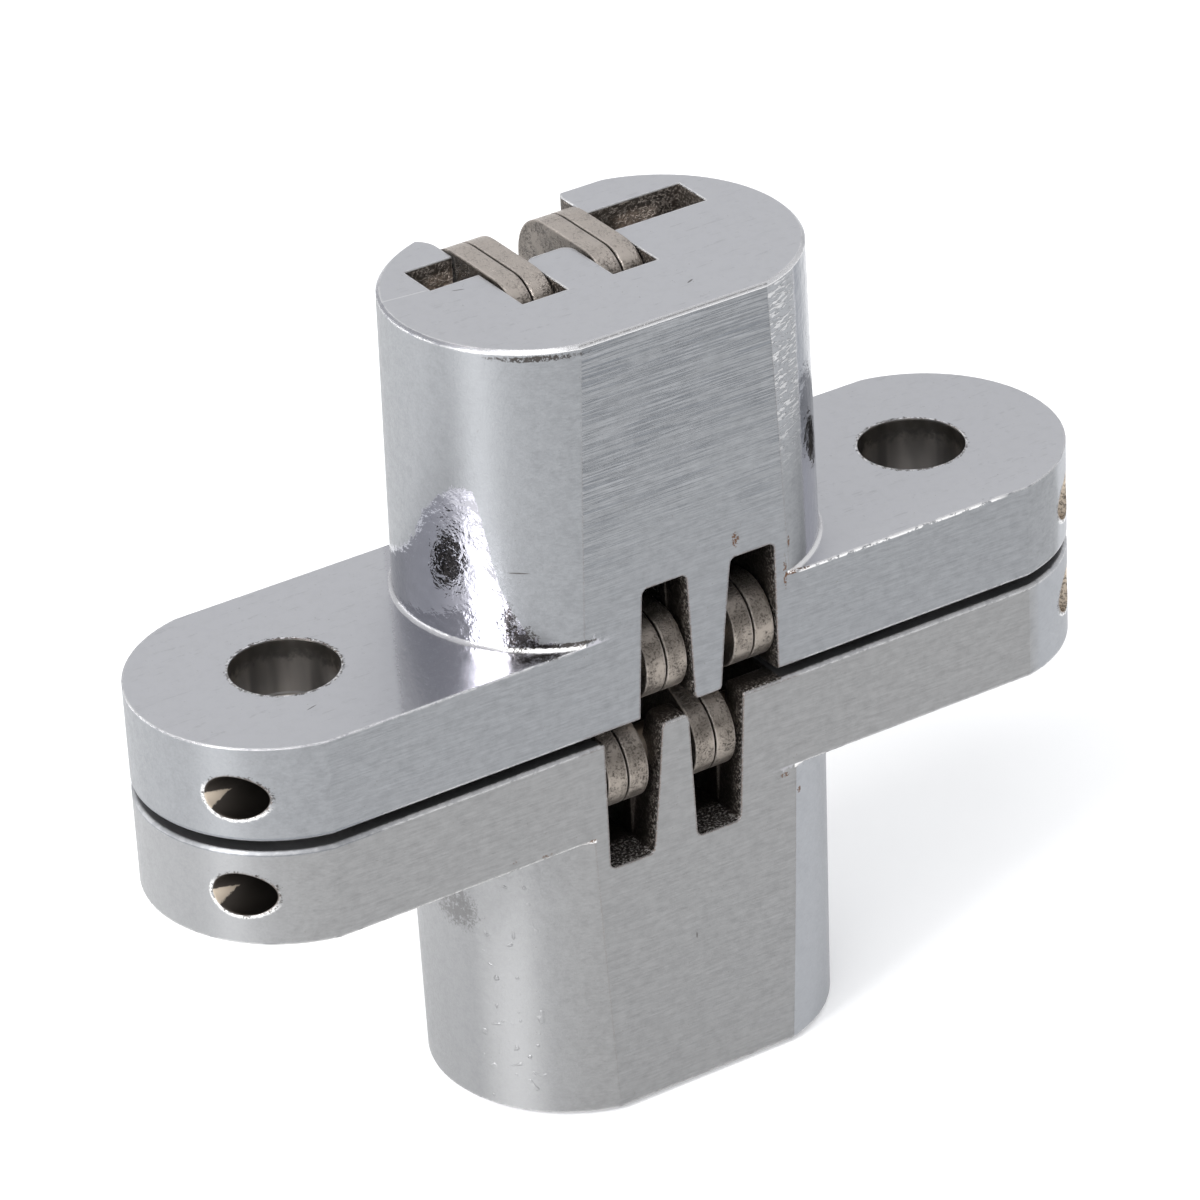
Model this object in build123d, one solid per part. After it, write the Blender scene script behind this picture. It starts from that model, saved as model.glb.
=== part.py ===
from build123d import *
import math
import os

# Concealed two-leaf door hinge, closed. Millimetres, Z up.
# The origin is the middle of the gap between the two leaves' meeting faces.
# X runs along the leaves, -Y is the front, where the hinge folds out when it opens.
# The lower leaf is the upper leaf turned half a turn about Y, and so are its links.

# Leaves
leaf_length = 46.0
leaf_width = 12.7
plate_thickness = 4.5
leaf_gap = 0.5
plate_end_radius = 6.48
boss_height = 14.05
boss_base_radius = 6.74
boss_centre_spacing = 5.9
boss_draft = 0.75
boss_rim_chamfer = 0.14
boss_foot_chamfer = 0.12
plate_face_chamfer = 0.12
block_corner_round = 0.5
rear_corner_round_left = 1.2
rear_corner_round_right = 0.6

# Wood screws through the plates
screw_spacing = 32.2
screw_hole_radius = 2.4
screw_head_radius = 4.1

# Link stack: four pairs of plates side by side
pair_pitch = 2.24
pair_count = 4
link_thickness = 0.95
link_spacing = 0.12
link_top_clear = 0.15
link_margin = 0.14

# Pins
pivot_pin_radius = 1.0
centre_pin_radius = 0.8
slide_pin_radius = 0.7
press_clearance = 0.015
running_clearance = 0.04
pivot_pin_length = 18.0
centre_pin_length = 8.8
slide_pin_length = 12.4
slide_pin_shift = -0.5

# Places of the pins in the closed hinge, as Y and Z
pivot_y = -4.35
pivot_z = 2.35
centre_y = 0.13
slide_y = 2.52
slide_below_top = 2.15

# Link outline
pivot_lobe_radius = 1.95
centre_lobe_radius = 1.9
heel_radius = 6.7
heel_y = -0.55
heel_z = 2.9
top_rear_radius = 2.2
top_front_radius = 1.7
top_rear_y = 6.15
top_front_y = -0.95

# Pockets in a leaf
window_height = 6.25
window_flare = 0.41
tongue_tip_left = 0.2
tongue_tip_right = 1.5
tongue_tip_round = 0.35
window_corner_round = 0.3
front_wall_foot_y = -5.1
front_wall_knee_y = -4.6
front_wall_knee_z = 3.0
channel_front_y = -1.7
channel_step_z = 12.5
rear_wall_y = 5.5
slot_front_y = 1.755
slot_rear_y = 3.905
slot_clear_left = 0.15
slot_clear_right = 1.3
slot_floor_z = 10.5

# What follows from the sizes above
face_z = leaf_gap / 2
shelf_z = face_z + plate_thickness
boss_end_z = shelf_z + boss_height
pair_left = -pair_pitch * pair_count / 2
window_top_z = face_z + window_height
link_top_z = boss_end_z + link_top_clear
slide_z = link_top_z - slide_below_top
slot_left = slide_pin_shift - slide_pin_length / 2 - slot_clear_left
slot_right = slide_pin_shift + slide_pin_length / 2 + slot_clear_right
over = 1.0


def pair_x(index):
    return pair_left + pair_pitch * index


def on_circle(centre, radius, angle):
    turn = math.radians(angle)
    return (centre[0] + radius * math.cos(turn), centre[1] + radius * math.sin(turn))


def arc_points(centre, radius, start, end):
    return [on_circle(centre, radius, angle) for angle in (start, (start + end) / 2, end)]


def along_x(points, x_low, x_high):
    # A prism whose cross-section is given as Y and Z
    outline = Polyline([(x_low, y, z) for y, z in points], close=True)
    return extrude(make_face(outline), amount=x_high - x_low, dir=(1, 0, 0))


def rod_x(radius, x_low, x_high, y, z):
    rod = Plane.YZ * Cylinder(radius, x_high - x_low)
    return Pos((x_low + x_high) / 2, y, z) * rod


def block(x_low, x_high, y_low, y_high, z_low, z_high):
    size = Box(x_high - x_low, y_high - y_low, z_high - z_low)
    return Pos((x_low + x_high) / 2, (y_low + y_high) / 2, (z_low + z_high) / 2) * size


def stadium(radius, spacing, height, z_low, draft):
    outline = SlotCenterToCenter(spacing, 2 * radius)
    return Pos(0, 0, z_low) * extrude(outline, amount=height, taper=draft)


def half_turn(shape):
    return Rotation(0, 180, 0) * shape


def leaf_blank():
    # Plate with rounded ears and the boss, both ground flat at front and rear
    plate_spacing = leaf_length - 2 * plate_end_radius
    width = block(-leaf_length, leaf_length, -leaf_width / 2, leaf_width / 2, 0, boss_end_z + over)
    plate = stadium(plate_end_radius, plate_spacing, plate_thickness, face_z, 0) & width
    meeting = [e for e in plate.edges() if abs(e.bounding_box().max.Z - face_z) < 0.001]
    plate = chamfer(meeting, plate_face_chamfer)
    boss = stadium(boss_base_radius, boss_centre_spacing, boss_height, shelf_z, boss_draft) & width
    blank = plate + boss
    foot = [
        e
        for e in blank.edges()
        if abs(e.center().Z - shelf_z) < 0.01 and 6 < abs(e.center().X) < 12 and e.geom_type != GeomType.LINE
    ]
    blank = chamfer(foot, boss_foot_chamfer)
    rim = [e for e in blank.edges() if abs(e.bounding_box().min.Z - boss_end_z) < 0.001]
    return chamfer(rim, boss_rim_chamfer)


def front_windows():
    # The openings in the front wall at the second and the last pair, as X and Z
    left = [
        (pair_x(1) - window_flare, 0),
        (pair_x(1), window_top_z),
        (pair_x(2), window_top_z),
        (pair_x(2) + tongue_tip_left, 0),
    ]
    right = [
        (tongue_tip_right, 0),
        (pair_x(3) - window_flare, window_top_z / 2),
        (pair_x(3), window_top_z),
        (pair_x(4), window_top_z),
        (pair_x(4), 0),
    ]
    cuts = []
    for points in (left, right):
        y_front = -leaf_width / 2 - over
        outline = make_face(Polyline([(x, y_front, z) for x, z in points], close=True))
        top = [v for v in outline.vertices() if abs(v.Z - window_top_z) < 0.001]
        outline = fillet(top, window_corner_round)
        depth = front_wall_knee_y - y_front
        cuts.append(extrude(outline, amount=depth, dir=(0, 1, 0)))
    return cuts


def link_channels():
    # Deep channels for the pairs that slide in this leaf, open at the rear and the boss's end
    profile = [
        (front_wall_foot_y, 0),
        (front_wall_knee_y, front_wall_knee_z),
        (channel_front_y, channel_step_z),
        (channel_front_y, boss_end_z + over),
        (leaf_width, boss_end_z + over),
        (leaf_width, 0),
    ]
    return [along_x(profile, pair_x(i), pair_x(i + 1)) for i in (0, 2)]


def pivot_pockets():
    # Shallow pockets for the pairs that are pivoted in this leaf, closed at the rear
    return [
        block(pair_x(i), pair_x(i + 1), front_wall_foot_y - 0.1, rear_wall_y, 0, window_top_z)
        for i in (1, 3)
    ]


def slide_slot():
    slot = block(slot_left, slot_right, slot_front_y, slot_rear_y, slot_floor_z, boss_end_z + over)
    behind = block(pair_x(1), pair_x(2), slot_front_y, leaf_width, slot_floor_z, boss_end_z + over)
    return [slot, behind]


def screw_hole(x):
    hole = Pos(x, 0, shelf_z / 2) * Cylinder(screw_hole_radius, 2 * shelf_z)
    depth = screw_head_radius - screw_hole_radius
    sink = Cone(screw_head_radius, screw_hole_radius, depth)
    return [hole, Pos(x, 0, face_z + depth / 2) * sink]


def rear_corner(x, away, radius):
    # What is rounded off a rear wall's upright edge beside an open channel
    x_centre = x + away * radius
    y_centre = leaf_width / 2 - radius
    corner = block(min(x, x_centre), max(x, x_centre), y_centre, leaf_width, 0, boss_end_z + over)
    return corner - Pos(x_centre, y_centre, 0) * Cylinder(radius, 4 * boss_end_z)


def round_uprights(shape, x, y, radius):
    edges = [
        e
        for e in shape.edges().filter_by(Axis.Z)
        if abs(e.center().X - x) < 0.01 and abs(e.center().Y - y) < 0.01
    ]
    return fillet(edges, radius)


def leaf():
    cuts = front_windows() + link_channels() + pivot_pockets() + slide_slot()
    for side in (-1, 1):
        cuts += screw_hole(side * screw_spacing / 2)
    bore = rod_x(pivot_pin_radius + press_clearance, -leaf_length, leaf_length, pivot_y, pivot_z)
    cuts.append(bore)
    cuts.append(rear_corner(pair_x(0), -1, rear_corner_round_left))
    cuts.append(rear_corner(pair_x(3), 1, rear_corner_round_right))
    shape = leaf_blank()
    for cut in cuts:
        shape = shape - cut
    for x in (pair_x(1), pair_x(2)):
        shape = round_uprights(shape, x, slot_front_y, block_corner_round)
    tip = [
        e
        for e in shape.edges().filter_by(Axis.Y)
        if abs(e.center().Z - face_z) < 0.01 and 0 < e.center().X < 1.6
    ]
    return fillet(tip, tongue_tip_round)


def link_outline(x):
    # One stamped crescent plate that is pivoted in the lower leaf, as Y and Z
    pivot = (pivot_y, -pivot_z)
    centre = (centre_y, 0)
    lean = math.degrees(math.atan2(centre[1] - pivot[1], centre[0] - pivot[0])) + 90
    heel = (heel_y, heel_z)
    top_front = (top_front_y + top_front_radius, link_top_z - top_front_radius)
    top_rear = (top_rear_y - top_rear_radius, link_top_z - top_rear_radius)
    curves = [
        arc_points(pivot, pivot_lobe_radius, -85, lean - 360),
        arc_points(centre, centre_lobe_radius, lean, 32),
        [(3.1, 0.3), (4.15, 0.5)],
        [(4.42, 3.0), (3.3, 8.6), (top_front_y, 14.8)],
        arc_points(top_front, top_front_radius, 180, 90),
        arc_points(top_rear, top_rear_radius, 90, 0),
        arc_points(heel, heel_radius, 0, -90),
    ]
    edges = []
    for curve, following in zip(curves, curves[1:] + curves[:1]):
        places = [(x, y, z) for y, z in curve + following[:1]]
        edges.append(ThreePointArc(*places[:3]) if len(curve) == 3 else Line(*places[:2]))
        edges.append(Line(*places[-2:]))
    return make_face(Wire(edges))


def link(x):
    plate = extrude(link_outline(x), amount=link_thickness, dir=(1, 0, 0))
    holes = [
        (pivot_pin_radius + running_clearance, pivot_y, -pivot_z),
        (centre_pin_radius + running_clearance, centre_y, 0),
        (slide_pin_radius + press_clearance, slide_y, slide_z),
    ]
    for radius, y, z in holes:
        plate = plate - rod_x(radius, x - over, x + link_thickness + over, y, z)
    return plate


def lower_pivot_links():
    # The pairs at the first and the third place turn on the lower leaf's pin
    plates = []
    for i in (0, 2):
        plates.append(link(pair_x(i) + link_margin))
        plates.append(link(pair_x(i) + link_margin + link_thickness + link_spacing))
    return plates


def pin(radius, length, shift, y, z):
    return rod_x(radius, shift - length / 2, shift + length / 2, y, z)


def main():
    os.makedirs("parts", exist_ok=True)
    upper = leaf()
    shapes = {"upper_leaf": upper, "lower_leaf": half_turn(upper)}
    for number, plate in enumerate(lower_pivot_links(), start=1):
        shapes["lower_link_%d" % number] = plate
        shapes["upper_link_%d" % number] = half_turn(plate)
    shapes["centre_pin"] = pin(centre_pin_radius, centre_pin_length, 0, centre_y, 0)
    pivot = pin(pivot_pin_radius, pivot_pin_length, 0, pivot_y, pivot_z)
    slide = pin(slide_pin_radius, slide_pin_length, slide_pin_shift, slide_y, slide_z)
    shapes["upper_pivot_pin"] = pivot
    shapes["lower_pivot_pin"] = half_turn(pivot)
    shapes["upper_slide_pin"] = slide
    shapes["lower_slide_pin"] = half_turn(slide)
    for node, shape in shapes.items():
        export_step(shape, "parts/%s.step" % node)
        print(node, round(shape.volume, 2), shape.is_valid)


main()
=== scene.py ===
import bpy
import math
from mathutils import Matrix, Vector

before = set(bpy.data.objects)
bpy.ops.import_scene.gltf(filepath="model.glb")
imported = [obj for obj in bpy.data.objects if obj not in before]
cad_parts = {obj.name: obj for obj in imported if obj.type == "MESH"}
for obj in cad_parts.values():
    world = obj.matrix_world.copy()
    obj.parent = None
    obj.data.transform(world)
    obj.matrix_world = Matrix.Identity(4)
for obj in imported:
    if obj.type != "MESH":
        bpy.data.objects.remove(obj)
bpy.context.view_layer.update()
print("frame loaded")

millimetre = 0.001


class Socket:
    # A node's output, wrapped so that shader maths reads as plain arithmetic
    def __init__(self, shader, link):
        self.shader = shader
        self.link = link

    def maths(self, operation, *values):
        return self.shader.node("ShaderNodeMath", {"operation": operation}, list(values))

    def __add__(self, other):
        return self.maths("ADD", self, other)

    def __sub__(self, other):
        return self.maths("SUBTRACT", self, other)

    def __rsub__(self, other):
        return self.maths("SUBTRACT", other, self)

    def __mul__(self, other):
        return self.maths("MULTIPLY", self, other)

    __radd__ = __add__
    __rmul__ = __mul__

    def most(self, other):
        return self.maths("MAXIMUM", self, other)

    def size(self):
        return self.maths("ABSOLUTE", self)

    def root(self):
        return self.maths("SQRT", self)

    def step(self, low, high):
        # 0 at low, 1 at high and smooth between; plain numbers may come in either order
        if not isinstance(low, Socket) and low > high:
            return 1 - self.step(high, low)
        smooth = {"interpolation_type": "SMOOTHSTEP"}
        return self.shader.node("ShaderNodeMapRange", smooth, [self, low, high, 0.0, 1.0])

    def near(self, middle, inner, outer):
        # 1 within inner of the middle, 0 past outer
        return (self - middle).size().step(outer, inner)


class Shader:
    # One material under construction
    def __init__(self, name):
        self.material = bpy.data.materials.new(name)
        self.material.use_nodes = True
        self.tree = self.material.node_tree
        self.tree.nodes.clear()

    def node(self, kind, settings, sockets, output=None):
        # Any node: its type, its settings, then its sockets in order or by name
        added = self.tree.nodes.new(kind)
        for key, value in settings.items():
            if key == "stops":
                self.setStops(added.color_ramp, value)
            else:
                setattr(added, key, value)
        if isinstance(sockets, dict):
            pairs = [(added.inputs[name], value) for name, value in sockets.items()]
        else:
            pairs = zip([s for s in added.inputs if s.enabled], sockets)
        for socket, value in pairs:
            self.plug(socket, value)
        if output:
            return Socket(self, added.outputs[output])
        usable = [s for s in added.outputs if s.enabled]
        return Socket(self, usable[0]) if usable else None

    def plug(self, socket, value):
        if isinstance(value, Socket):
            self.tree.links.new(value.link, socket)
        elif value is not None and socket.type == "RGBA":
            socket.default_value = (*value, 1.0)
        elif value is not None:
            socket.default_value = value

    def setStops(self, ramp, stops):
        while len(ramp.elements) > 1:
            ramp.elements.remove(ramp.elements[-1])
        for index, (place, value) in enumerate(stops):
            element = ramp.elements.new(place) if index else ramp.elements[0]
            element.position = place
            element.color = (value, value, value, 1.0)

    def place(self, turned=False):
        # Millimetres in the casting's own frame, where the boss always points up
        return self.own("Object", 1 / millimetre, turned)

    def facing(self, turned=False):
        return self.own("Normal", 1.0, turned)

    def own(self, output, size, turned):
        # A turned leaf is the other one after half a turn about Y
        flipped = -size if turned else size
        return self.scaled(self.node("ShaderNodeTexCoord", {}, [], output), (flipped, size, flipped))

    def scaled(self, vector, scale, turn=(0.0, 0.0, 0.0)):
        # The turn is in degrees
        radians = tuple(math.radians(angle) for angle in turn)
        sockets = {"Vector": vector, "Rotation": radians, "Scale": scale}
        return self.node("ShaderNodeMapping", {}, sockets)

    def parts(self, vector):
        outputs = self.node("ShaderNodeSeparateXYZ", {}, [vector]).link.node.outputs
        return [Socket(self, outputs[index]) for index in range(3)]

    def noise(self, vector, scale, detail, roughness):
        return self.node(
            "ShaderNodeTexNoise",
            {"noise_dimensions": "3D"},
            {"Vector": vector, "Scale": scale, "Detail": detail, "Roughness": roughness},
        )

    def curve(self, value, low, high, top, points):
        # A height that follows the points across a stretch, as a ramp of greys
        along = self.node("ShaderNodeMapRange", {}, [value, low, high, 0.0, 1.0])
        stops = [((at - low) / (high - low), up / top) for at, up in points]
        return self.node("ShaderNodeValToRGB", {"stops": stops}, [along]) * top

    def spot(self, vector, centre, size, turn, ragged=0.0):
        # 1 inside a small ellipsoid, turned by degrees about Z
        local = self.node(
            "ShaderNodeMapping",
            {"vector_type": "TEXTURE"},
            {
                "Vector": vector,
                "Location": centre,
                "Rotation": (0.0, 0.0, math.radians(turn)),
                "Scale": size,
            },
        )
        away = self.node("ShaderNodeVectorMath", {"operation": "LENGTH"}, [local], "Value")
        return (away + ragged).step(1.1, 0.7)

    def rounded(self, radius, samples):
        # The normal with edges rounded by millimetres, and how far it turns away from the face
        edge = self.node("ShaderNodeBevel", {"samples": samples}, {"Radius": radius * millimetre})
        flat = self.node("ShaderNodeNewGeometry", {}, [], "Normal")
        same = self.node("ShaderNodeVectorMath", {"operation": "DOT_PRODUCT"}, [edge, flat], "Value")
        return edge, 1 - same

    def mixed(self, factor, first, second):
        return self.node("ShaderNodeMix", {"data_type": "RGBA"}, [factor, first, second])

    def bump(self, height, distance, strength=1.0, normal=None):
        return self.node(
            "ShaderNodeBump",
            {},
            {"Height": height, "Distance": distance, "Strength": strength, "Normal": normal},
        )

    def metal(self, colour, roughness, normal, **more):
        sockets = {"Base Color": colour, "Metallic": 1.0, "Roughness": roughness, "Normal": normal}
        return self.node("ShaderNodeBsdfPrincipled", {}, dict(sockets, **more))

    def finish(self, surface):
        self.node("ShaderNodeOutputMaterial", {}, {"Surface": surface})
        return self.material


def shade(colour, by):
    return tuple(channel * by for channel in colour)


def dress(names, material):
    for name in names:
        thing = bpy.data.objects[name]
        thing.data.materials.clear()
        thing.data.materials.append(material)


# Places on a casting in millimetres, by the CAD's sizes
halfWidth = 6.35
meetingFace = 0.25
shelf = 4.75
windowTop = 6.5
bossEnd = 18.8
endCentre, footRadius = 2.95, 6.80  # of the boss's rounded ends
screwAt, screwRadius = 16.1, 2.4
boreForward, boreUp, boreRadius = 4.35, 2.35, 1.04
boreMouth, boreSlope = 21.32, 0.906  # how far out the bore ends, and how that grows across it
pocketHalf = 4.6
slotMiddle, slotHalf, slotFloor = (0.07, 2.83), (7.0, 1.09), 10.5  # along X, along Y
beltRange = 20.0  # more than any height on a belt's curve

# The noises of a leaf: scale per millimetre, detail, roughness, then any stretch and turn in degrees
leafGrains = {
    "ragged": (3.5, 3.0, 0.70, (1.0, 1.0, 0.6)),
    "patchy": (2.4, 3.0, 0.75),
    "fine": (9.0, 3.0, 0.75, (0.09, 1.0, 1.0)),
    "broad": (0.30, 2.0, 0.50),
    "cloudy": (2.2, 3.0, 0.65),
    "rough": (16.0, 3.0, 0.70),
    "specks": (4.5, 3.0, 0.85),
    "blotchy": (6.0, 3.0, 0.85),
    "slanted": (14.0, 1.0, 0.40, (0.014, 1.0, 1.0), (0.0, 1.2, 0.0)),
    "crossed": (21.0, 1.0, 0.40, (0.018, 1.0, 1.0), (0.0, -0.9, 0.0)),
    "drops": (2.6, 0.0, 0.50),
    "leaning": (8.5, 2.0, 0.60, (0.20, 0.20, 1.0), (0.0, 30.0, 0.0)),
    "orangePeel": (1.6, 3.0, 0.60),
    "combed": (6.0, 2.0, 0.60, (0.10, 1.0, 1.0), (0.0, 0.0, -28.0)),
    "sandy": (8.0, 3.0, 0.70),
    "sheen": (0.9, 2.0, 0.50, (1.0, 1.0, 0.12)),
}

# Leaves: die-cast zinc, ground and brushed, with a satin chrome plate
leafLook = {
    # The tops' colour is lighter and the walls' darker than one plating would be: painted light on
    # the tops and painted shade on the walls
    "top": (0.60, 0.60, 0.62),
    "wall": (0.305, 0.313, 0.325),
    "line": (0.15, 0.165, 0.19),
    "glint": (0.46, 0.47, 0.49),
    # The bare polish's colours paint its reflections: lighter as polished, darker as shaded, and on
    # the upper leaf's right end light low down as farEnd and dark higher up as farTop
    "polished": (0.44, 0.435, 0.47),
    "shaded": (0.31, 0.315, 0.35),
    "farEnd": (0.54, 0.545, 0.60),
    "farTop": (0.20, 0.21, 0.235),
    "facing": (0.30, 0.30, 0.31),
    # Bright wear on edges and rims, and painted highlights on the rim, the seam, the foot and the lit
    # side
    "highlightAndWear": (0.97, 0.96, 0.95),
    "dirt": (0.17, 0.155, 0.14),
    "mark": (0.07, 0.06, 0.055),
    "stainAndShadeTone": (0.05, 0.043, 0.038),
    "pocket": (0.068, 0.059, 0.052),
    "slot": (0.17, 0.15, 0.132),
    "ledge": (0.66, 0.56, 0.49),
    "sparkle": (0.42, 0.37, 0.33),
    "boreLight": (0.62, 0.53, 0.43),
    "drilled": (0.74, 0.69, 0.64),
    "rust": (0.13, 0.065, 0.035),
    "edgeRound": 0.15,
    "grooves": {"Anisotropic": 0.8, "Anisotropic Rotation": 0.25},
    # Heights of the bumps in millimetres
    "relief": {
        "brushed": 0.010,
        "droplets": 0.080,
        "scratches": 0.015,
        "chatter": 0.040,
        "grain": 0.005,
        "orangePeel": 0.050,
        "casting": 0.070,
    },
}

# The belt is where grinding stopped, so that bare polish shows below it: places across the boss's
# rounded end, front first, each with the height there. The end is 1 or -1, the side of the leaf that
# the strip lamp lights. Marks, dark patches and rust are spots, each with its centre, size and turn;
# the dark patches are partly stains and partly painted shade and a painted dark reflection.
upperLook = dict(
    leafLook,
    belt=[
        (-6.35, 4.85), (-5.65, 5.05), (-5.29, 5.3), (-4.8, 6.4), (-4.4, 7.6), (-4.0, 10.0),
        (-3.55, 12.2), (-2.5, 12.0), (-1.0, 10.4), (-0.3, 9.0), (1.0, 7.8), (4.0, 6.4), (6.35, 5.0),
    ],
    shelfEdge=-10.84,
    rightEnd=1.0,
    end=-1,
    lines=0.9,
    chatter=1.0,
    seam=0.0,
    marks=[
        ((2.19, -4.21, 18.8), (0.22, 0.05, 0.3), 25),
        ((-5.9, 1.09, 18.8), (0.30, 0.035, 0.3), -20),
        ((-16.9, -3.6, 4.75), (0.3, 0.03, 0.2), 15),
        ((-7.38, -4.95, 8.47), (0.5, 0.3, 0.035), -42),
    ],
    stainsAndShade=[
        # A painted dark reflection just under the rim, two dark smudges at the foot, and painted
        # shade in the crease at the foot and on the shelf beside it
        ((-6.25, -5.5, 18.43), (1.95, 0.9, 0.14), -31),
        ((-7.45, -4.95, 5.3), (0.75, 0.45, 0.62), -42),
        ((-7.75, -4.65, 6.2), (0.28, 0.3, 0.75), -40),
        ((-6.0, -5.95, 4.97), (1.9, 0.5, 0.12), -28),
        ((-7.2, -5.95, 4.75), (1.0, 0.38, 0.12), -25),
    ],
    stainAndShadeDepth=0.9,
    rusted=[
        ((2.52, -6.35, 7.3), (0.22, 0.2, 0.4), 0),
        ((5.25, -6.35, 6.3), (0.09, 0.2, 0.30), 0),
        ((4.99, -6.35, 4.89), (0.10, 0.2, 0.9), 0),
        ((5.6, -6.35, 4.75), (0.8, 0.15, 0.10), 0),
    ],
    parting=1.0,
    rimLight=1.0,
    nearEnd=0.0,
    farFrom=0.48,
    droplets=0.0,
)
lowerLook = dict(
    leafLook,
    wall=(0.312, 0.312, 0.312),
    end=1,
    belt=[(-6.35, 4.8), (6.35, 4.8)],
    shelfEdge=None,
    rightEnd=0.0,
    lines=0.12,
    chatter=0.0,
    seam=0.32,
    marks=[((0.28, -6.35, 11.44), (0.035, 0.3, 0.16), 0)],
    stainsAndShade=[((9.45, -1.6, 8.9), (0.5, 1.5, 1.0), 0)],
    stainAndShadeDepth=0.42,
    rusted=[
        ((-4.61, -6.35, 5.09), (0.26, 0.2, 0.13), 0),
        ((-5.36, -6.35, 6.13), (0.22, 0.2, 0.20), 0),
        ((7.63, -6.35, 4.62), (0.30, 0.2, 0.10), 0),
        ((5.31, -6.35, 4.75), (0.20, 0.2, 0.07), 0),
        ((9.23, -6.35, 4.35), (0.10, 0.2, 0.10), 0),
    ],
    parting=0.0,
    rimLight=0.0,
    nearEnd=0.25,
    farFrom=0.20,
    glint=(0.36, 0.37, 0.39),
    droplets=1.0,
)


class Casting(Shader):
    # One leaf's plating. Colour, gloss and relief share the masks of its areas
    def __init__(self, name, turned, look):
        super().__init__(name)
        self.look = look
        self.at = self.place(turned)
        self.x, self.y, self.z = self.parts(self.at)
        self.nx, self.ny, self.nz = self.parts(self.facing(turned))
        self.grains = {}

    def grain(self, name):
        # A named noise, made at its first use
        if name not in self.grains:
            scale, detail, roughness, *mapping = leafGrains[name]
            vector = self.scaled(self.at, *mapping) if mapping else self.at
            self.grains[name] = self.noise(vector, scale, detail, roughness)
        return self.grains[name]

    def findAreas(self):
        # End faces and shelves, walls, and the cast pockets and holes behind them
        x, y, z = self.x, self.y, self.z
        self.level = self.nz.size().step(0.55, 0.9)
        behind = y.step(0.02 - halfWidth, 0.10 - halfWidth)
        behind = behind * y.step(halfWidth - 0.01, halfWidth - 0.07)
        behind = behind * z.step(bossEnd - 0.02, bossEnd - 0.08)
        acrossSlot = x.near(slotMiddle[0], slotHalf[0] - 0.03, slotHalf[0] + 0.03)
        upSlot = y.near(slotMiddle[1], slotHalf[1], slotHalf[1] + 0.04)
        self.slot = acrossSlot * upSlot * behind * z.step(slotFloor - 0.2, slotFloor)
        self.pocket = (x.near(0.0, pocketHalf, pocketHalf + 0.12) * behind).most(self.slot)
        fromScrewX = x.size() - screwAt
        self.fromScrew = (fromScrewX * fromScrewX + y * y).root()
        hole = self.fromScrew.step(screwRadius + 0.03, screwRadius + 0.005)
        self.hole = hole * z.step(shelf - 0.01, shelf - 0.06)
        self.across, up = y + boreForward, z - boreUp
        self.fromBore = (self.across * self.across + up * up).root()
        self.upright = up * -self.look["end"]
        self.bore = self.fromBore.step(boreRadius + 0.02, boreRadius - 0.02)
        self.inside = self.pocket.most(self.bore).most(self.hole)

    def findPolish(self):
        # Bare polish beside the boss, and painted highlights along its foot, its rim and the seam
        x, y, z, look = self.x, self.y, self.z, self.look
        wall = 1 - self.level
        ragged = self.grain("ragged") - 0.5
        beltHeight = self.curve(y, -halfWidth, halfWidth, beltRange, look["belt"])
        onEnd = x.step(-3.6, -4.8)
        onWall = (1 - (z + ragged * 1.2).step(beltHeight - 0.12, beltHeight + 0.12)) * onEnd
        onRight = (self.nx + ragged * 0.05).step(0.52, 0.55) * x.step(3.0, 4.0)
        onRight = onRight * z.step(shelf + 0.01, shelf + 0.15)
        self.polishedRight = onRight * look["rightEnd"] * wall
        beyond = (x.size() - endCentre).most(0.0)
        fromAxis = (beyond * beyond + y * y).root()
        foot = fromAxis.near(footRadius, 0.07, 0.10) * z.near(shelf + 0.06, 0.07, 0.10)
        rim = z.near(bossEnd - 0.06, 0.09, 0.12) * wall * look["rimLight"]
        patches = 0.2 + 0.8 * self.grain("patchy").step(0.46, 0.60)
        self.seam = z.near(meetingFace + 0.06, 0.07, 0.09) * wall * look["seam"] * patches
        if look["shelfEdge"] is None:
            polished = onWall * 0.5
        else:
            low, high = look["shelfEdge"] - 0.1, look["shelfEdge"] + 0.15
            onShelf = (x - 0.535 * y + ragged * 0.5).step(low, high)
            onShelf = onShelf * onEnd * z.step(shelf + 1.75, shelf + 1.25)
            onShelf = onShelf * z.step(shelf - 1.15, shelf - 0.35) * 0.65
            polished = onWall * wall + onShelf * self.level * 0.8
            polished = polished.most(self.polishedRight).most(foot)
        outside = 1 - self.inside
        self.polished = (polished * z.step(shelf - 0.09, shelf - 0.01)).most(rim) * outside
        lip = foot * (0.45 + 0.45 * y.step(-3.0, -5.5))
        self.highlitAndWorn = (rim * self.ny.step(-0.3, -0.6)).most(self.seam).most(lip) * outside

    def findMarks(self):
        # Brushed lines on the flat front, the boss's lit side, and slanting belt chatter in a band
        x, y, z, look = self.x, self.y, self.z, self.look
        first, second = self.grain("slanted"), self.grain("crossed")
        self.scratched = first.step(0.54, 0.64).most(second.step(0.57, 0.68))
        onFlat = (self.ny * -1).step(0.97, 0.995) * (0.15 + 0.85 * z.step(6.0, 13.0))
        self.onFlat = onFlat * look["lines"] * (0.45 + 0.55 * self.grain("broad").step(0.38, 0.56))
        self.glints = first.step(0.44, 0.36).most(second.step(0.40, 0.30)) * self.onFlat
        onLitSide = (x * look["end"]).step(3.5, 5.0) * (self.ny * -1).near(0.55, 0.10, 0.25)
        self.lit = onLitSide * z.step(shelf + 0.05, shelf + 0.65)
        band = self.nx.step(0.12, 0.17) * (x - endCentre).step(3.65, 3.5) * y.step(-3.0, -4.5)
        self.band = band * z.step(8.5, 13.5) * (1 - self.level)
        self.slanting = self.grain("leaning").step(0.50, 0.60)

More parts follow.
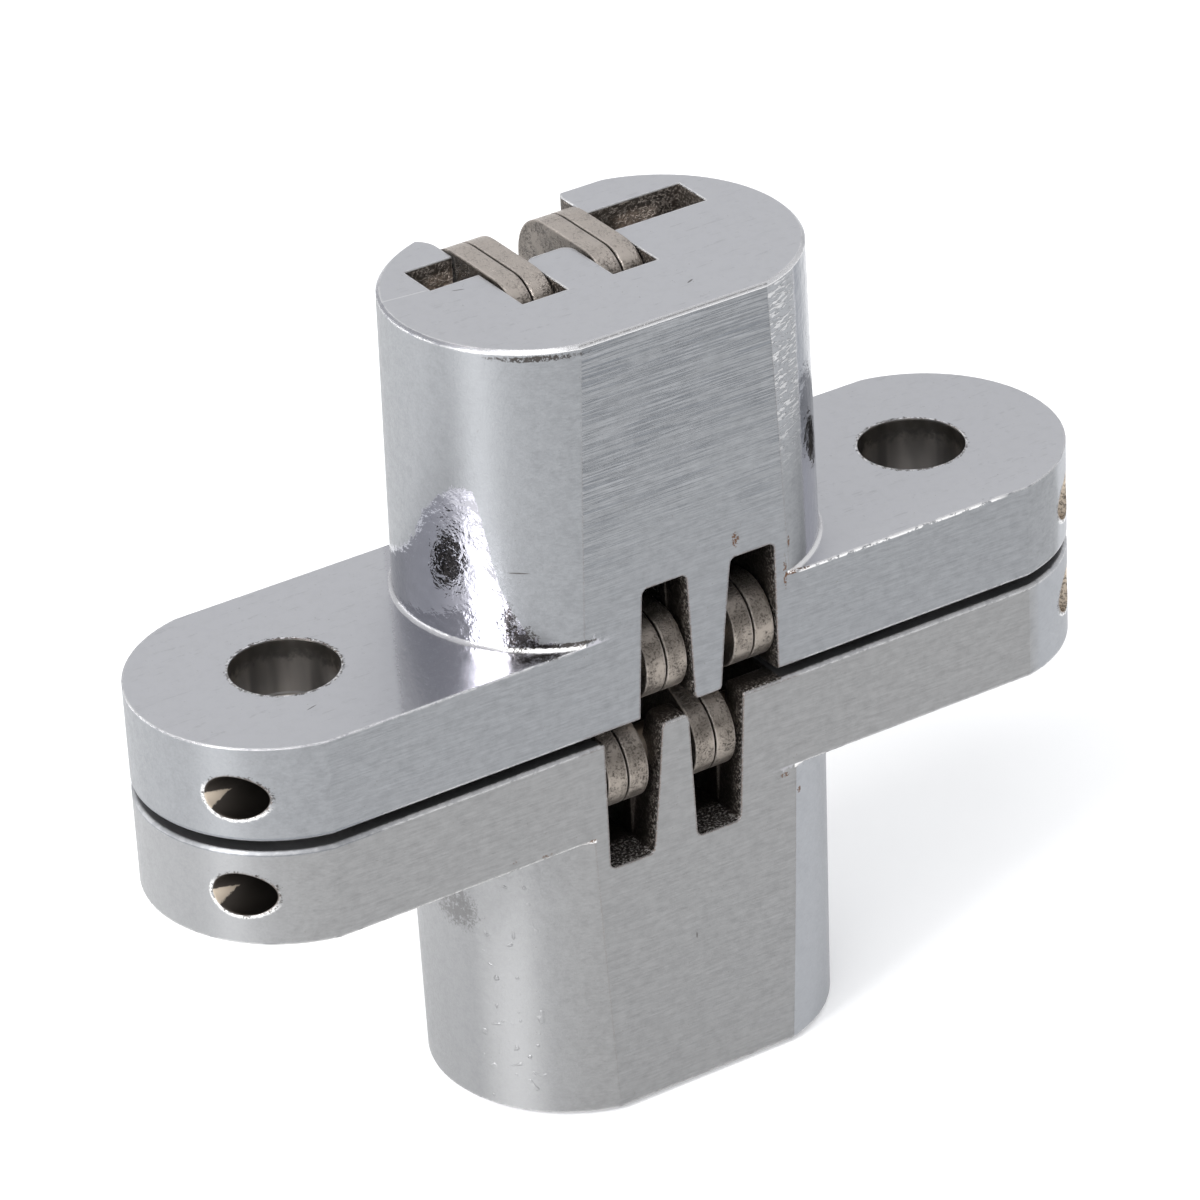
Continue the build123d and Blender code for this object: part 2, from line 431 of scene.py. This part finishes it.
    def wallColour(self):
        x, nx, look = self.x, self.nx, self.look
        end = look["end"]
        cloudy, fine = self.grain("cloudy"), self.grain("fine")
        wall = self.mixed(cloudy.step(0.35, 0.75) * 0.35, look["wall"], shade(look["wall"], 0.80))
        wall = self.mixed(fine.step(0.35, 0.65) * 0.14, wall, shade(look["wall"], 0.62))
        wall = self.mixed(self.glints * 0.35, wall, look["glint"])
        wall = self.mixed(self.scratched * self.onFlat * 0.55, wall, look["line"])
        # Painted light: the far rounded end, the lower leaf's near end and the chatter band are
        # lifted towards the glint colour
        farEnd = (nx * -end).step(look["farFrom"], look["farFrom"] + 0.12) * (x * -end).step(3.0, 4.0)
        nearEnd = (nx * end).step(0.35, 0.85) * look["nearEnd"]
        underChatter = self.band * look["chatter"] * 0.45
        wall = self.mixed(farEnd.most(nearEnd).most(underChatter), wall, look["glint"])
        # Real slanting chatter marks, painted bright as highlights, and on the lower leaf a painted
        # highlight over the lit side
        wall = self.mixed(self.slanting * self.band * look["chatter"] * 0.42, wall, look["highlightAndWear"])
        return self.mixed(self.lit * look["droplets"] * 0.08, wall, look["highlightAndWear"])

    def topColour(self):
        look, cloudy = self.look, self.grain("cloudy")
        top = self.mixed(cloudy.step(0.4, 0.75) * 0.25, look["top"], shade(look["top"], 0.86))
        hairs = self.grain("combed").step(0.60, 0.68) * cloudy.step(0.42, 0.60)
        top = self.mixed(hairs * 0.35, top, shade(look["top"], 0.70))
        # The meeting face is darker: a bare machined face, darkened further as painted shade of the
        # gap between the leaves
        return self.mixed(self.z.step(meetingFace + 0.02, meetingFace + 0.005), top, look["facing"])

    def outerColour(self):
        # Walls and level faces, dirt, the polish, single nicks and the casting's parting line
        x, y, z, look = self.x, self.y, self.z, self.look
        outer = self.mixed(self.level, self.wallColour(), self.topColour())
        outer = self.mixed(self.grain("specks").step(0.67, 0.74) * 0.5, outer, look["dirt"])
        # The bare polish is coloured as painted reflection: shaded on the walls towards the back, and
        # on the right end light low down and dark higher up
        mirror = self.mixed(y.step(-1.0, -4.2).most(self.level), look["shaded"], look["polished"])
        farEnd = self.mixed(z.step(8.5, 12.0), look["farEnd"], look["farTop"])
        mirror = self.mixed(self.polishedRight, mirror, farEnd)
        outer = self.mixed(self.polished, outer, mirror)
        for centre, size, turn in look["marks"]:
            outer = self.mixed(self.spot(self.at, centre, size, turn) * 0.75, outer, look["mark"])
        parting = y.near(2.0 - 0.12 * x - 0.97, 0.02, 0.05) * x.step(-6.9, -7.1)
        parting = parting * self.level * z.step(bossEnd - 0.8, bossEnd - 0.3)
        return self.mixed(parting * look["parting"] * 0.4, outer, look["highlightAndWear"])

    def castColour(self):
        # The pockets' sandy skin, which glitters at sills and edges, the bores and the screw holes
        x, y, z, look = self.x, self.y, self.z, self.look
        sill = self.level * y.step(-4.3, -4.8) * z.near(windowTop, 0.06, 0.15)
        rawEdge = y.step(0.85 - halfWidth, 0.05 - halfWidth)
        rawEdge = rawEdge.most(z.step(16.0, 18.0) * 0.6).most(sill * 0.8)
        self.sparkle = self.grain("sandy").step(0.50, 0.64) * (0.12 + 0.88 * rawEdge)
        cast = self.mixed(self.slot * z.step(9.0, 12.0), look["pocket"], look["slot"])
        # A pale patch at the slot's rear below the top, painted light
        ledge = self.slot * y.step(3.6, 3.85) * z.step(bossEnd - 0.45, bossEnd - 0.8)
        ledge = ledge * x.size().near(4.8, 0.8, 1.3)
        ledge = ledge * (0.5 + self.grain("specks").step(0.35, 0.60) * 0.5)
        cast = self.mixed(ledge, cast, look["ledge"])
        cast = self.mixed(self.sparkle * self.pocket, cast, look["sparkle"])
        front = y.step(0.30 - halfWidth, 0.05 - halfWidth)
        cast = self.mixed(self.sparkle * sill.most(front * 0.6) * 0.7, cast, look["highlightAndWear"])
        inBore = self.bore * self.boreLight() * x.size().step(14.0, 16.0)
        cast = self.mixed(inBore, cast, look["boreLight"])
        return self.mixed(self.hole, cast, self.drilledColour())

    def boreLight(self):
        # Light that falls along the bores: a wedge at the lit end, a rough patch at the other
        x, blotchy = self.x, self.grain("blotchy")
        depth = boreMouth + boreSlope * self.across - x.size()
        ownEnd = (x * self.look["end"]).step(10.0, 11.0)
        uneven = self.upright + (blotchy - 0.5) * 0.25
        wedge = (0.12 - depth * 0.2 - uneven).step(0.0, 0.05)
        wedge = wedge * (uneven + 0.70 - depth * 0.35).step(0.0, 0.05)
        wedge = wedge * self.across.step(0.0, 0.2) * ownEnd
        mouth = depth.step(1.3, 0.7) * (1 - ownEnd) * (0.25 + 0.75 * blotchy.step(0.43, 0.53))
        return wedge.most(mouth)

    def drilledColour(self):
        # The screw holes' walls: a painted sheen in vertical streaks, painted shade towards their
        # top, and a painted highlight line at height 2.12
        look, drill = self.look, self.look["drilled"]
        drilled = self.mixed(self.grain("sheen").step(0.35, 0.65), drill, shade(drill, 0.5))
        shadedTop = (self.z + (self.grain("cloudy") - 0.5) * 1.6).step(3.6, 4.3) * 0.75
        drilled = self.mixed(shadedTop, drilled, shade(drill, 0.22))
        return self.mixed(self.z.near(2.12, 0.03, 0.07) * 0.6, drilled, look["highlightAndWear"])

    def edgeWearAndHighlights(self, colour):
        # Edges lighter as wear and as painted highlight, burred rims of the holes with painted
        # highlights, and a painted highlight along the shelf's front edge
        x, y, z, look = self.x, self.y, self.z, self.look
        fromScrew, fromBore, outside = self.fromScrew, self.fromBore, 1 - self.inside
        patchy, blotchy = self.grain("patchy"), self.grain("blotchy")
        burr = blotchy - 0.5
        self.edge, away = self.rounded(look["edgeRound"], 3)
        self.onEdge = away.step(0.015, 0.12)
        nearPocket = x.near(0.0, pocketHalf + 0.6, pocketHalf + 1.4)
        nearPocket = nearPocket * z.step(bossEnd - 0.2, bossEnd - 0.3)
        self.nearPocket = nearPocket * (1 - self.seam)
        self.nearHole = fromScrew.step(screwRadius + 0.8, screwRadius + 0.2).most(
            fromBore.step(boreRadius + 0.56, boreRadius + 0.16)
        )
        bright = self.onEdge * patchy.step(0.36, 0.50) * outside
        bright = bright * (1 - self.nearPocket * 0.9) * (1 - self.nearHole * 0.7)
        # Painted shade along the meeting face's edge at the lit end, where the leaves join; it also
        # dims the bright edges there
        shadedJoinEdge = z.step(meetingFace + 0.23, meetingFace + 0.15)
        shadedJoinEdge = shadedJoinEdge * (x * look["end"]).step(14.0, 17.0)
        bright = bright * (1 - shadedJoinEdge * 0.8)
        colour = self.mixed(shadedJoinEdge * (1 - self.level) * outside * 0.6, colour, look["line"])
        holeRim = (fromScrew + burr * 0.22).near(screwRadius + 0.03, 0.03, 0.06)
        holeRim = holeRim * self.level * patchy.step(0.42, 0.52)
        atEnd = x.size().step(18.0, 19.0)
        boreRim = (fromBore + burr * 0.40).near(boreRadius + 0.02, 0.08, 0.15) * atEnd
        boreRim = boreRim * (self.upright - self.across * 0.5).step(0.3, -0.4)
        boreRim = boreRim * blotchy.step(0.38, 0.48)
        corner = shelf + halfWidth
        # A painted highlight in patches along the upper leaf's shelf front edge
        shelfEdgeHighlight = (z - y).step(corner - 0.145, corner - 0.09) * x.size().step(17.0, 16.0)
        shelfEdgeHighlight = shelfEdgeHighlight * x.size().step(5.4, 6.0) * z.step(shelf + 0.01, shelf - 0.01)
        shelfEdgeHighlight = shelfEdgeHighlight * patchy.step(0.46, 0.51) * (0.15 + 0.85 * x.step(-5.0, 5.0))
        shelfEdgeHighlight = shelfEdgeHighlight * look["rimLight"]
        self.highlitAndWorn = self.highlitAndWorn.most(holeRim).most(boreRim * outside).most(shelfEdgeHighlight)
        colour = self.mixed(bright.most(self.highlitAndWorn) * 0.9, colour, look["highlightAndWear"])
        torn = (fromScrew + burr * 0.5).near(screwRadius + 0.06, 0.03, 0.10) * self.level
        tornBore = (fromBore + burr * 0.5).near(boreRadius + 0.02, 0.03, 0.09) * atEnd
        torn = torn.most(tornBore) * outside * self.grain("specks").step(0.49, 0.55)
        return self.mixed(torn * 0.85, colour, look["stainAndShadeTone"])

    def addStainsAndShade(self, colour):
        # Dark patches, which are partly stains and partly painted shade and a painted dark
        # reflection, rust specks, and rust along the edges of the pockets and holes
        look, blotchy, specks = self.look, self.grain("blotchy"), self.grain("specks")
        for centre, size, turn in look["stainsAndShade"]:
            darkened = self.spot(self.at, centre, size, turn, (blotchy - 0.5) * 2.4)
            darkened = darkened * specks.step(0.40, 0.47)
            darkened = darkened * (1 - self.level * self.z.step(bossEnd - 0.8, bossEnd - 0.3))
            colour = self.mixed(darkened * look["stainAndShadeDepth"], colour, look["stainAndShadeTone"])
        for centre, size, turn in look["rusted"]:
            darkened = self.spot(self.at, centre, size, turn) * specks.step(0.48, 0.54)
            colour = self.mixed(darkened * 0.9, colour, look["rust"])
        rusty = self.nearPocket * blotchy.step(0.40, 0.50)
        rusty = rusty.most(self.nearHole * blotchy.step(0.48, 0.54))
        return self.mixed(rusty * self.onEdge * (1 - self.inside) * 0.85, colour, look["rust"])

    def gloss(self):
        wall = 0.40 + (self.grain("fine") - 0.5) * 0.3 + (self.grain("cloudy") - 0.5) * 0.15
        top = 0.44 + (self.grain("rough") - 0.5) * 0.2
        rough = wall * (1 - self.level) + top * self.level
        rough = rough * (1 - self.polished) + (0.09 + 0.04 * self.polishedRight) * self.polished
        rough = rough * (1 - self.highlitAndWorn) + 0.30 * self.highlitAndWorn
        return rough * (1 - self.inside) + (0.46 - 0.18 * self.hole) * self.inside

    def relief(self):
        # Normals of the brushed walls and of the rest: each bump takes its mask as its strength
        look = self.look
        depth = {key: up * millimetre for key, up in look["relief"].items()}
        brushed = self.bump(self.grain("fine"), depth["brushed"], 1.0, self.edge)
        if look["droplets"]:
            drops = self.grain("drops").step(0.69, 0.84)
            dropped = self.grain("broad").step(0.38, 0.48) * self.lit * look["droplets"]
            brushed = self.bump(drops, depth["droplets"], dropped, brushed)
        if look["chatter"]:
            brushed = self.bump(1 - self.scratched, depth["scratches"], self.onFlat, brushed)
            brushed = self.bump(self.slanting, depth["chatter"], self.band, brushed)
        outside = 1 - self.inside
        onTops = self.level * (1 - self.polished) * outside
        plain = self.bump(self.grain("rough"), depth["grain"], onTops, self.edge)
        onPolish = self.polished * (1 - 0.7 * self.level) * outside
        plain = self.bump(self.grain("orangePeel"), depth["orangePeel"], onPolish, plain)
        return brushed, self.bump(self.sparkle, depth["casting"], self.pocket, plain)

    def plated(self):
        # The finished material: grooved metal on the brushed walls, plain metal on the rest
        self.findAreas()
        self.findPolish()
        self.findMarks()
        colour = self.mixed(self.inside, self.outerColour(), self.castColour())
        colour = self.addStainsAndShade(self.edgeWearAndHighlights(colour))
        rough = self.gloss()
        brushed, plain = self.relief()
        walls = self.metal(colour, rough, brushed, **self.look["grooves"])
        rest = self.metal(colour, rough, plain)
        smooth = self.level.most(self.polished).most(self.inside)
        return self.finish(self.node("ShaderNodeMixShader", {}, [smooth, walls, rest]))


dress(["upper_leaf"], Casting("upperLeafChrome", False, upperLook).plated())
dress(["lower_leaf"], Casting("lowerLeafChrome", True, lowerLook).plated())
print("leaves dressed")


# Links: stamped steel plates, tumbled, with small dark pits
linkLook = {
    "colour": (0.31, 0.275, 0.24),
    "darker": (0.13, 0.113, 0.098),
    "shadedFlank": (0.10, 0.088, 0.078),
    "litCrest": (0.69, 0.62, 0.565),
    "pitColour": (0.045, 0.038, 0.032),
    "roughness": 0.38,
    "edgeRound": 0.16,
    "pitDepth": 0.030,
}


def linkMaterial(name, look):
    s = Shader(name)
    place = s.place()
    pits = s.noise(place, 10.0, 2.0, 0.75)
    grain = s.noise(place, 16.0, 2.0, 0.6)
    mottle = s.noise(place, 1.1, 4.0, 0.7)
    pitted = pits.step(0.50, 0.62) * mottle.step(0.36, 0.56)
    height = s.parts(place)[2]
    sideways, _, upward = s.parts(s.facing())
    level = upward.size()
    colour = s.mixed(mottle.step(0.38, 0.66) * 0.65, look["colour"], look["darker"])
    # Painted light and shade: level faces lighter, flanks darker, and upward faces inside the windows
    # darker
    colour = s.mixed(level.step(0.5, 0.9) * 0.6, colour, look["litCrest"])
    colour = s.mixed(sideways.size().step(0.5, 0.9) * 0.6, colour, look["shadedFlank"])
    shadedInWindow = upward.step(0.05, 0.55) * height.size().step(9.0, 7.5) * 0.55
    colour = s.mixed(shadedInWindow, colour, look["darker"])
    colour = s.mixed(pitted * (0.85 - level * 0.45), colour, look["pitColour"])
    edge, away = s.rounded(look["edgeRound"], 4)
    # Rounded edges lighter: a painted highlight
    colour = s.mixed(away.step(0.02, 0.15) * 0.45, colour, look["litCrest"])
    roughness = look["roughness"] + (grain - 0.5) * 0.3
    normal = s.bump(grain * 0.4 - pitted, look["pitDepth"] * millimetre, 1.0, edge)
    return s.finish(s.metal(colour, roughness, normal))


links = ["%s_link_%d" % (side, number) for side in ("upper", "lower") for number in (1, 2, 3, 4)]
dress(links, linkMaterial("tumbledSteel", linkLook))
print("links dressed")


# Pins: drawn wire
pinLook = {"colour": (0.36, 0.31, 0.26), "roughness": 0.4, "lineDepth": 0.010}


def pinMaterial(name, look):
    s = Shader(name)
    lines = s.noise(s.scaled(s.place(), (0.2, 1.0, 1.0)), 8.0, 2.0, 0.6)
    roughness = look["roughness"] + (lines - 0.5) * 0.3
    return s.finish(s.metal(look["colour"], roughness, s.bump(lines, look["lineDepth"] * millimetre)))


pins = ["centre_pin", "upper_pivot_pin", "lower_pivot_pin", "upper_slide_pin", "lower_slide_pin"]
dress(pins, pinMaterial("drawnWire", pinLook))
print("pins dressed")


# Floor
floorLook = {"level": -0.01895, "halfSize": 1.5, "colour": (0.93, 0.93, 0.93), "lift": 0.2}


def makeFloor(look):
    bpy.ops.object.select_all(action="DESELECT")
    bpy.ops.mesh.primitive_plane_add(size=2 * look["halfSize"], location=(0.0, 0.0, look["level"]))
    floor = bpy.context.object
    floor.name = "floor"
    bpy.ops.object.transform_apply(location=True, rotation=True, scale=True)
    s = Shader("paleFloor")
    paper = s.node("ShaderNodeBsdfDiffuse", {}, {"Color": look["colour"]})
    lift = s.node("ShaderNodeEmission", {}, {"Color": (1.0, 1.0, 1.0), "Strength": look["lift"]})
    pale = s.node("ShaderNodeAddShader", {}, [paper, lift])
    # Only what the camera or a reflection sees is lifted, so that the floor sheds no extra light
    seen = s.node("ShaderNodeLightPath", {}, [], "Is Camera Ray")
    seen = seen.most(s.node("ShaderNodeLightPath", {}, [], "Is Glossy Ray"))
    floor.data.materials.append(s.finish(s.node("ShaderNodeMixShader", {}, [seen, paper, pale])))
    s.material.cycles.emission_sampling = "NONE"


makeFloor(floorLook)
print("floor laid")


# Studio light
lampLook = {
    "key": {"place": (-0.25, -0.30, 0.60), "size": (0.4, 0.4), "power": 1.2},
    "strip": {"place": (-0.424, -0.098, 0.246), "size": (0.16, 0.26), "power": 1.9},
    "side": {"place": (-0.45, 0.40, 0.08), "size": (0.6, 0.14), "power": 1.0},
}
skyLook = {"colour": (0.80, 0.81, 0.83), "strength": 0.95}


def addLamp(name, look):
    place = Vector(look["place"])
    turn = (-place).to_track_quat("-Z", "Y").to_euler()
    bpy.ops.object.light_add(type="AREA", location=place, rotation=turn)
    lamp = bpy.context.object
    lamp.name = name
    lamp.data.shape = "RECTANGLE"
    lamp.data.size, lamp.data.size_y = look["size"]
    lamp.data.energy = look["power"]


def addSky(look):
    world = bpy.data.worlds.new("studio")
    bpy.context.scene.world = world
    world.use_nodes = True
    sky = world.node_tree.nodes["Background"]
    sky.inputs["Color"].default_value = (*look["colour"], 1.0)
    sky.inputs["Strength"].default_value = look["strength"]


for name, look in lampLook.items():
    addLamp(name, look)
addSky(skyLook)
print("lamps set")


# Camera at the photograph's angle; the frame is square. Angles are in radians
cameraLook = {
    "azimuth": 0.5493,
    "elevation": 0.5148,
    "roll": -0.0526,
    "distance": 0.2729106,
    "aim": (-0.0004419, 0.0, 0.002536),
    "sensor": 36.0,
    "focalLength": 6317.26 / 1200.0,  # in frame widths
}


def addCamera(look):
    azimuth, elevation, roll = look["azimuth"], look["elevation"], look["roll"]
    level = math.cos(elevation)
    ahead = Vector((math.sin(azimuth) * level, math.cos(azimuth) * level, -math.sin(elevation)))
    right = Vector((math.cos(azimuth), -math.sin(azimuth), 0.0))
    up = right.cross(ahead)
    across = right * math.cos(roll) + up * math.sin(roll)
    upright = up * math.cos(roll) - right * math.sin(roll)
    bpy.ops.object.camera_add()
    camera = bpy.context.object
    turn = Matrix((across, upright, -ahead)).transposed()
    place = Vector(look["aim"]) - ahead * look["distance"]
    camera.matrix_world = Matrix.Translation(place) @ turn.to_4x4()
    camera.data.sensor_width = look["sensor"]
    camera.data.lens = look["sensor"] * look["focalLength"]
    camera.data.clip_start = 0.01
    bpy.context.scene.camera = camera


addCamera(cameraLook)
bpy.context.scene.view_settings.view_transform = "Standard"
print("camera set")
